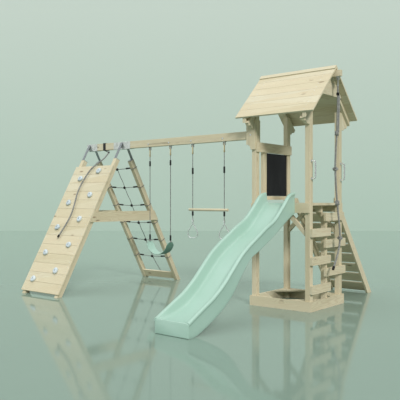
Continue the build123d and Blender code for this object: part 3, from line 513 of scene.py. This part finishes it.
def laid_rope(build, points, radius, lay=None, strands=3, sides=6):
    """Twisted strands round a route. lay is the length of one full turn of the strands."""
    lay = lay or radius * 7
    share = sin(pi / strands) / (1 + sin(pi / strands))
    strand = radius * share * 1.03
    offset = radius - strand
    route = frames_along(resampled(points, lay / 9))
    for k in range(strands):
        line = []
        for i, (place, side, up) in enumerate(route):
            turn = 2 * pi * (k / strands + i / 9)
            line.append(place + side * offset * cos(turn) + up * offset * sin(turn))
        tube(build, line, strand, sides)


def nurbs_points(name, route):
    """Points along the smooth NURBS line that has the route's points as its control points."""
    curve = bpy.data.curves.new(name, "CURVE")
    curve.dimensions = "3D"
    spline = curve.splines.new("NURBS")
    spline.points.add(len(route) - 1)
    for point, place in zip(spline.points, route):
        point.co = (*place, 1)
    spline.order_u = 3
    spline.use_endpoint_u = True
    spline.resolution_u = 12
    carrier = bpy.data.objects.new(name, curve)
    mesh = bpy.data.meshes.new_from_object(carrier)
    points = [v.co.copy() for v in mesh.vertices]
    bpy.data.objects.remove(carrier)
    bpy.data.curves.remove(curve)
    bpy.data.meshes.remove(mesh)
    return points


def place_piece(obj, body, *replaced, slot=None):
    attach(obj, body)
    if replaced:
        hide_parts(*replaced)
    return obj


# ======================================================================================
# Ropes
# ======================================================================================
rope_sides = 6
thin_rope = 0.0052  # radius of the swing's, the trapeze's and the net's ropes


def free_rope(name, route, radius, body, node, material,
              turn=None):
    """A rope of laid strands along its route."""
    points = nurbs_points(name + " line", route)
    build = Build()
    laid_rope(build, points, radius, turn)
    obj = build.piece(name, material)
    place_piece(obj, body, node, slot="rope")
    path = resampled(points, 0.01)
    return obj


link_low = 2568
climb_route = [at(535, 0, link_low - 0.3), at(536, -2, 2400), at(533, -10, 2210), at(535, -22, 2020),
               at(530, -43, 1815), at(530, -58, 1615), at(536, -48, 1420), at(538, -24, 1220),
               at(544, 10, 1020), at(546, 40, 830), at(540, 20, 690), at(537, -40, 575), at(535, -108, 482)]
wall_route = [at(-2853, -446, 1934), at(-2856, -490, 1882), at(-2868, -548, 1828), at(-2902, -612, 1778),
              at(-2962, -664, 1716), at(-3012, -706, 1628), at(-3042, -778, 1502), at(-3052, -848, 1376),
              at(-3006, -936, 1219), at(-2968, -1030, 1052), at(-2994, -1114, 902), at(-3036, -1184, 778)]
climb_knots = [2020, 1615, 1220, 817]


def knot_line(middle, along, side, up, radius, rope_radius):
    """A closed overhand knot drawn tight round the rope: a three-lobed loop that crosses itself."""
    line = []
    steps = 72
    for i in range(steps):
        t = 2 * pi * i / steps
        spread = radius - rope_radius
        x = (sin(t) + 2 * sin(2 * t)) / 3 * spread
        y = (cos(t) - 2 * cos(2 * t)) / 3 * spread
        z = -sin(3 * t) * rope_radius * 1.15
        line.append(middle + side * x + up * z + along * y)
    return line


def knots(name, route, heights, radius, rope_radius, body, node, material, doubled):
    """Knots on a rope, each tied at a height, and the rope's own end laid beside it between two heights."""
    points = resampled(nurbs_points(name + " line", route), 0.004)
    build = Build()
    turn = 0.4
    for height in heights:
        i = min(range(1, len(points) - 1), key=lambda k: abs(points[k].z - height / 1000))
        along = (points[i + 1] - points[i - 1]).normalized()
        side = along.cross(Vector((cos(turn), sin(turn), 0))).normalized()
        up = along.cross(side)
        turn += 1.3
        ring = knot_line(points[i], along, side, up, radius, rope_radius)
        laid_loop(build, ring, rope_radius)
    beside = [p + Vector((0.013, 0.011, 0)) for p in points if doubled[1] < p.z < doubled[0]]
    laid_rope(build, beside, rope_radius * 0.9, 0.066)
    obj = build.piece(name, material)
    return place_piece(obj, body, node, slot="rope")


def laid_loop(build, line, radius, strands=3, turns=9):
    """Twisted strands round a closed line."""
    route = frames_along(line, loop=True)
    share = sin(pi / strands) / (1 + sin(pi / strands))
    strand = radius * share * 1.03
    offset = radius - strand
    closing = closing_turn(route)
    count = len(route)
    for k in range(strands):
        path = []
        for i, (place, side, up) in enumerate(route):
            turn = 2 * pi * (k / strands + turns * i / count) + closing * i / count
            path.append(place + side * offset * cos(turn) + up * offset * sin(turn))
        tube(build, path, strand, rope_sides, loop=True)


def closing_turn(route):
    """The angle by which the frame at the end of a closed line has turned from its start."""
    side, up = route[0][1], route[0][2]
    last = route[-1][1]
    return atan2(last.dot(up), last.dot(side)) * -1


# The knotted climbing rope on the ridge's overhang, doubled on itself down to its first knot.
climbing_knots = knots("climbing_knots", climb_route, climb_knots, 0.034, 0.0118, "knotted_rope",
                       "rope_knots", rope_grey, doubled=(2.462, 2.035))
free_rope("climbing_rope", climb_route, 0.012, "knotted_rope", "climb_rope", rope_grey,
          turn=0.072)

# The rope that lies down the climbing wall.
free_rope("wall_rope_cord", wall_route, 0.011, "wall_rope", "wall_rope", rope_grey,
          turn=0.066)


def hanging_ropes(name, xs, low, high, radius, body, node, material):
    """Straight ropes under load between a hook and a fitting."""
    for i, x in enumerate(xs):
        build = Build()
        route = [Vector((x, beam_y, high)), Vector((x, beam_y, low))]
        laid_rope(build, route, radius)
        obj = build.piece(f"{name}_{i + 1}", material)
        place_piece(obj, body, node, slot="rope")


hanging_ropes("swing_rope_laid", swing_xs, seat_tip + 0.014, rope_top, thin_rope, "swing",
              "swing_ropes", rope_dark)
hanging_ropes("trapeze_rope_laid", trapeze_xs, ring_pivot_z + 0.032, rope_top, thin_rope, "trapeze",
              "trapeze_ropes", rope_dark)

# ======================================================================================
# Rope net
# ======================================================================================
net_out = -leg_depth / 2
net_half = frame_half - leg_width / 2
net_heights = (1.725, 1.456, 1.188, 0.920, 0.650, 0.382)
wrap_thick = 0.0085
rung_end = net_half - wrap_thick - 0.001
rung_shape = ((-rung_end, 0), (-0.190, -0.010), (-0.064, -0.016), (0.062, -0.015), (0.188, -0.009),
              (rung_end, 0))
upright_shape = ((0, 1.709), (-6, 1.600), (8, 1.530), (0, 1.440), (-5, 1.330), (9, 1.262), (0, 1.172),
                 (-5, 1.064), (9, 0.996), (2, 0.904), (-4, 0.796), (10, 0.726), (4, 0.634), (-3, 0.530),
                 (12, 0.452), (6, 0.366), (14, 0.284), (38, 0.200), (60, 0.112))


def net_place(x, z, out=net_out):
    """A place on the net's slope at height z, x from the middle of the frame."""
    along = (z - out * cos(leg_angle)) / sin(leg_angle)
    y, height = slope_point(1, along, out)
    return Vector((frame_mid + x, y, height))


def leg_wrap(x, z):
    """A closed turn of rope round a leg, square on to it, with round corners."""
    middle = net_place(x, z)
    across = Vector((1, 0, 0))
    outward = Vector((0, sin(leg_angle), cos(leg_angle)))
    half_x = leg_width / 2 + 0.0046
    half_y = leg_depth / 2 + 0.0046
    bend = 0.006
    line = []
    for sx, sy, start in ((1, 1, 0), (-1, 1, 1), (-1, -1, 2), (1, -1, 3)):
        for k in range(4):
            turn = pi / 2 * (start + k / 3)
            line.append(middle + across * (sx * (half_x - bend) + bend * cos(turn))
                        + outward * (sy * (half_y - bend) + bend * sin(turn)))
    return line


rungs = Build()
for z in net_heights:
    points = [net_place(x, z) + Vector((0, 0, drop)) for x, drop in rung_shape]
    laid_rope(rungs, nurbs_points("rung line", points), thin_rope)
    for x in (-frame_half, frame_half):
        tube(rungs, leg_wrap(x, z), 0.0042, 8, loop=True)
place_piece(rungs.piece("net_rungs_laid", rope_dark), "play_set", "net_rungs", slot="rope")

upright = Build()
upright_route = [net_place(x / 1000, z) for x, z in upright_shape]
laid_rope(upright, nurbs_points("upright line", upright_route), thin_rope)
place_piece(upright.piece("net_upright_laid", rope_dark), "play_set", "net_upright", slot="rope")


def turned(build, place, axis, outline, count=20):
    """A turned piece: outline is (distance along the axis, radius) in metres."""
    axis = axis.normalized()
    side = axis.cross(Vector((0, 0, 1)) if abs(axis.z) < 0.9 else Vector((1, 0, 0))).normalized()
    up = axis.cross(side)
    build.loft([circle(place + axis * a, side, up, r, count) for a, r in outline])


fittings = Build()
barrel = [(-0.0170, 0.0090), (-0.0170, 0.0132), (-0.0142, 0.0150), (-0.0068, 0.0156), (0.0, 0.0172),
          (0.0068, 0.0156), (0.0142, 0.0150), (0.0170, 0.0132), (0.0170, 0.0090)]
screw_cap = [(0, 0.0075), (0.0068, 0.0075), (0.0078, 0.0062), (0.0078, 0.003)]
collar = [(-0.0440, 0.0070), (-0.0440, 0.0105), (-0.0410, 0.0124), (-0.0180, 0.0128), (-0.0170, 0.0114),
          (0.0150, 0.0120), (0.0300, 0.0104), (0.0420, 0.0088), (0.0440, 0.0064)]
slope_run = Vector((0, -cos(leg_angle), sin(leg_angle)))
slope_out = Vector((0, sin(leg_angle), cos(leg_angle)))
for z in net_heights:
    middle = net_place(0, z) - Vector((0, 0, 0.016))
    turned(fittings, middle, Vector((1, 0, 0)), barrel)
    turned(fittings, middle, slope_run, barrel)
    turned(fittings, middle + slope_out * 0.008, slope_out, screw_cap, 6)
    for side in (-1, 1):
        end = net_place(side * 0.232, z - 0.005)
        turned(fittings, end, Vector((side * 1.0, 0, 0.065)), collar)
anchor_y, anchor_z = slope_point(1, 0.115, net_out + 0.003)
anchor = Vector((frame_mid + 0.060, anchor_y, anchor_z))
turned(fittings, anchor, slope_out, [(-0.0085, 0.0160), (-0.0060, 0.0160), (0.0010, 0.0150), (0.0070, 0.0118),
                                     (0.0088, 0.0060)], 24)
place_piece(fittings.piece("net_fittings_moulded", black_nylon), "play_set", "net_fittings",
            slot="black_plastic")

# ======================================================================================
# Slide
# ======================================================================================
slide_start = -0.415
slide_end = -2.285
# Stations along the slide: distance from the tower's middle, bed height, rim above bed, skirt below bed.
slide_stations = (
    (-0.415, 1.222, 0.120, 0.122), (-0.520, 1.168, 0.142, 0.118), (-0.660, 1.040, 0.142, 0.068),
    (-0.820, 0.915, 0.136, 0.034), (-1.000, 0.832, 0.132, 0.044), (-1.150, 0.757, 0.125, 0.043),
    (-1.300, 0.676, 0.124, 0.032), (-1.450, 0.556, 0.146, 0.064), (-1.600, 0.424, 0.146, 0.100),
    (-1.750, 0.306, 0.134, 0.098), (-1.900, 0.218, 0.120, 0.094), (-2.050, 0.166, 0.098, 0.112),
    (-2.180, 0.140, 0.058, 0.134), (-2.280, 0.130, 0.017, 0.126))


def smooth_stations(stations, between):
    """Extra stations on a smooth curve through the given ones."""
    result = []
    count = len(stations)
    for i in range(count - 1):
        p0, p1 = stations[max(i - 1, 0)], stations[i]
        p2, p3 = stations[i + 1], stations[min(i + 2, count - 1)]
        for k in range(between):
            t = k / between
            result.append(tuple(
                0.5 * (2 * b + (c - a) * t + (2 * a - 5 * b + 4 * c - d) * t**2
                       + (3 * b - a - 3 * c + d) * t**3)
                for a, b, c, d in zip(p0, p1, p2, p3)))
    return result + [tuple(stations[-1])]


def cut_corners(points, times=2):
    """Rounds a closed outline by cutting its corners."""
    for _ in range(times):
        result = []
        for a, b in zip(points, points[1:] + points[:1]):
            result.append(tuple(p + (q - p) * 0.25 for p, q in zip(a, b)))
            result.append(tuple(p + (q - p) * 0.75 for p, q in zip(a, b)))
        points = result
    return points


def slide_section(bed, rim, skirt):
    """Closed outline (x, z) of the moulding across the slide, right half then left half."""
    top = bed + rim
    low = max(0.002, bed - skirt)
    under = bed - 0.009
    flank = min(0.050, rim * 0.4)
    right = [(0.100, bed), (0.138, bed + 0.002), (0.156, bed + 0.012), (0.162, bed + flank),
             (0.168, top - 0.018), (0.174, top), (0.196, top + 0.004), (0.217, top - 0.004),
             (0.2175, top - 0.026), (0.211, top - 0.032), (0.208, top - 0.040), (0.208, bed - 0.012),
             (0.209, low), (0.197, low), (0.195, bed - 0.022), (0.160, under), (0.100, under)]
    left = [(-x, z) for x, z in reversed(right)]
    return cut_corners(right + left)


def slide():
    build = Build()
    rings = []
    for y, bed, rim, skirt in smooth_stations(slide_stations, 5):
        rings.append([Vector((tower.x + x, tower.y + y, z)) for x, z in slide_section(bed, rim, skirt)])
    build.loft(rings)
    # the upright panel that closes the foot, and the flange at the deck
    y, bed, rim, skirt = slide_stations[-1]
    apron(build, tower.y + slide_end + 0.0006, 0.002, bed + 0.012, 0.2065, 0.022)
    apron(build, tower.y + slide_start - 0.0095, 1.101, 1.221, 0.204, 0.009, 0.006)
    obj = build.piece("wave_slide", slide_green)
    split = obj.modifiers.new("crisp ends", "EDGE_SPLIT")
    split.split_angle = radians(50)
    return place_piece(obj, "play_set", "slide_chute", slot="slide_plastic")


def apron(build, y, low, high, half, thick, bend=0.022):
    """An upright panel across the slide with rounded corners and edge; y is its outer face."""
    rings = []
    for depth, inset in ((0.0, 0.005), (0.0015, 0.0015), (0.005, 0.0), (thick, 0.0)):
        ring = []
        for sx, sz, start in ((1, 1, 0), (-1, 1, 1), (-1, -1, 2), (1, -1, 3)):
            r = bend if sz > 0 else 0.004
            for k in range(5):
                turn = pi / 2 * (start + k / 4)
                x = sx * (half - inset - r) + r * cos(turn)
                z = (high - inset - r if sz > 0 else low + inset + r) + r * sin(turn)
                ring.append(Vector((tower.x + x, y + depth, z)))
        rings.append(ring)
    build.loft(rings)


slide()


# ======================================================================================
# Climbing stones
# ======================================================================================
wall_stones = ((158, 1894), (-164, 1772), (192, 1505), (-189, 1377), (190, 1125), (-195, 988), (200, 735),
               (-209, 599), (160, 354), (-222, 206))
ramp_stones = ((-150, 282), (150, 455), (-150, 626), (150, 798), (-150, 970), (150, 1142))


def stone(build, base, out, across, radius, seed):
    """A moulded hold: a flat foot, undercut flank, uneven crown and a countersunk hole."""
    along = out.cross(across)
    rings = []
    profile = ((0.000, 0.86), (0.004, 0.93), (0.014, 1.0), (0.022, 0.985), (0.028, 0.90),
               (0.0325, 0.74), (0.034, 0.52), (0.0335, 0.36), (0.030, 0.27), (0.026, 0.25))
    count = 28
    for height, share in profile:
        ring = []
        for k in range(count):
            turn = 2 * pi * k / count
            wobble = (1 + 0.055 * sin(2 * turn + seed) + 0.045 * sin(3 * turn + 2.3 * seed)
                      + 0.02 * sin(5 * turn + seed))
            reach = radius * share * (wobble if share > 0.4 else 1) * 0.90
            uneven = 0.03 * sin(turn * 2 + seed * 1.7) - 0.03 if 0.4 < share < 0.95 else 0
            lift = height * (1 + uneven)
            ring.append(base + out * lift + across * reach * cos(turn) + along * reach * sin(turn))
        rings.append(ring)
    build.loft(rings)


stones = Build()
wall_outward = Vector((0, -sin(leg_angle), cos(leg_angle)))
for i, (x, along) in enumerate(wall_stones):
    y, z = slope_point(-1, along / 1000, wall_board)
    stone(stones, Vector((frame_mid + x / 1000, y, z)), wall_outward, Vector((1, 0, 0)), 0.046, i * 1.3)
ramp_outward = Vector((0, sin(ramp_angle), cos(ramp_angle)))
for i, (x, along) in enumerate(ramp_stones):
    place = Vector((tower.x + x / 1000, tower.y + ramp_toe - along / 1000 * cos(ramp_angle),
                    along / 1000 * sin(ramp_angle)))
    stone(stones, place, ramp_outward, Vector((1, 0, 0)), 0.038, i * 1.9 + 0.5)
place_piece(stones.piece("moulded_stones", stone_grey), "play_set", "climbing_stones", slot="stone_plastic")

# ======================================================================================
# Belt seat
# ======================================================================================
swing_mid = (swing_xs[0] + swing_xs[1]) / 2


def belt_seat():
    """A moulded belt: thicker at its rolled long edges, with shallow ribs across and two strong ends."""
    half_width = 0.0715
    low = 0.512
    control = [(-0.192, seat_tip), (-0.185, 0.640), (-0.142, 0.5685), (-0.068, 0.5235), (0, low + 0.0008),
               (0.068, 0.5235), (0.142, 0.5685), (0.185, 0.640), (0.192, seat_tip)]
    line = nurbs_points("belt line", [Vector((swing_mid + x, beam_y, z + 0.0055)) for x, z in control])
    line = resampled([p for p in line if p.z < seat_tip], 0.005)
    rings = []
    for i, place in enumerate(line):
        ahead, behind = line[min(i + 1, len(line) - 1)], line[max(i - 1, 0)]
        run = (ahead - behind).normalized()
        up = Vector((0, -1, 0)).cross(run).normalized()
        share = min(i, len(line) - 1 - i) / 9
        wide = half_width * (0.42 + 0.58 * min(1.0, share) ** 0.6)
        rib = 0.0007 * (1 if (i // 2) % 2 else -1) if share > 1 else 0
        outline = [(-1.00, 0.0005), (-0.985, 0.0036), (-0.93, 0.0044), (-0.86, 0.0026 + rib),
                   (-0.4, 0.0024 + rib), (0, 0.0024 + rib), (0.4, 0.0024 + rib), (0.86, 0.0026 + rib),
                   (0.93, 0.0044), (0.985, 0.0036), (1.00, 0.0005), (0.985, -0.0032), (0.93, -0.0042),
                   (0.5, -0.0038), (0, -0.0038), (-0.5, -0.0038), (-0.93, -0.0042), (-0.985, -0.0032)]
        rings.append([place + Vector((0, 1, 0)) * wide * a + up * b for a, b in outline])
    build = Build()
    build.loft(rings)
    seat = build.piece("belt_seat_moulding", seat_painted_shade)
    seat.data.materials.append(seat_painted_lit)
    middle = Vector((swing_mid, beam_y, 0.80))
    # the paler copy on the inner face is painted light; the outer faces keep the darker copy as painted shade
    for polygon in seat.data.polygons:  # the face towards the child is the paler colour
        if polygon.normal.dot(middle - polygon.center) > 0.004:
            polygon.material_index = 1
    return place_piece(seat, "swing", "swing_seat", slot="seat_plastic")


belt_seat()

# ======================================================================================
# Camera, light, floor and backdrop
# ======================================================================================
def stage_material(name, low, high, bottom, top, roughness):
    """Colour that changes slowly with height or depth; where it darkens towards the bottom it is painted
    shade.
    """
    s = Shader(name, roughness, specular=0.3)
    split = s.add("ShaderNodeSeparateXYZ")
    s.feed(split.inputs[0], s.place)
    share = s.math("DIVIDE", s.math("SUBTRACT", split.outputs[2], bottom), top - bottom, clamp=True)
    s.colour(s.mix(share, low, high))
    s.bump(s.noise(3.0, 2.0), 0.0002)
    return s.material


def plane(name, corners, material):
    obj = new_piece(name, corners, [(0, 1, 2, 3)], material, smooth=False)
    return obj


view_azimuth = radians(39.1)
look = Vector((-sin(view_azimuth), cos(view_azimuth), 0))
camera_place = Vector((5.1675, -6.096, 1.255))
far, wide = 25, 34
back = camera_place + look * far
across = look.cross(Vector((0, 0, 1)))
floor_paint = stage_material("pale floor", (0.235, 0.325, 0.275), (0.235, 0.325, 0.275), -1, 1, 0.07)
# the backdrop is painted darker towards the floor: painted shade; the floor stays one even colour
backdrop_painted_shade = stage_material("pale backdrop", (0.43, 0.54, 0.475), (0.56, 0.63, 0.585), 0.0, 9.0, 0.8)
plane("floor", [(-44, -44, 0), (44, -44, 0), (44, 44, 0), (-44, 44, 0)], floor_paint)
base = Vector((back.x, back.y, 0))
rise = Vector((0, 0, 20))
plane("backdrop", [base - across * wide, base + across * wide, base + across * wide + rise,
                   base - across * wide + rise], backdrop_painted_shade)

camera_data = bpy.data.cameras.new("camera")
camera_data.lens = 55.3
camera_data.sensor_width = 36
camera = bpy.data.objects.new("camera", camera_data)
camera.location = camera_place
camera.rotation_euler = (pi / 2, 0, view_azimuth)
collection.objects.link(camera)
bpy.context.scene.camera = camera


def far_light(name, direction, strength, spread, tint=(1, 1, 1)):
    """A broad, distant light shining along the direction; spread is its angular size in degrees."""
    data = bpy.data.lights.new(name, "SUN")
    data.energy = strength
    data.angle = radians(spread)
    data.color = tint
    lamp = bpy.data.objects.new(name, data)
    lamp.location = (0, 0, 8)
    lamp.rotation_euler = Vector(direction).to_track_quat("-Z", "Y").to_euler()
    lamp.visible_glossy = spread > 20  # the narrow light would show as a white disc on the glossy floor
    collection.objects.link(lamp)


far_light("key", (-7.1, 4.7, -5.5), 2.5, 13, (1.0, 0.985, 0.955))
far_light("fill", (5.5, 6.5, -3.2), 0.5, 40, (0.95, 1.0, 0.985))
far_light("top", (0.1, 0.2, -1), 1.1, 60, (0.98, 1.0, 0.995))

world = bpy.data.worlds.new("studio")
bpy.context.scene.world = world
world.use_nodes = True
world.node_tree.nodes["Background"].inputs[0].default_value = (0.84, 0.90, 0.88, 1)
world.node_tree.nodes["Background"].inputs[1].default_value = 0.34
bpy.context.scene.view_settings.view_transform = "Standard"
bpy.context.scene.view_settings.look = "None"
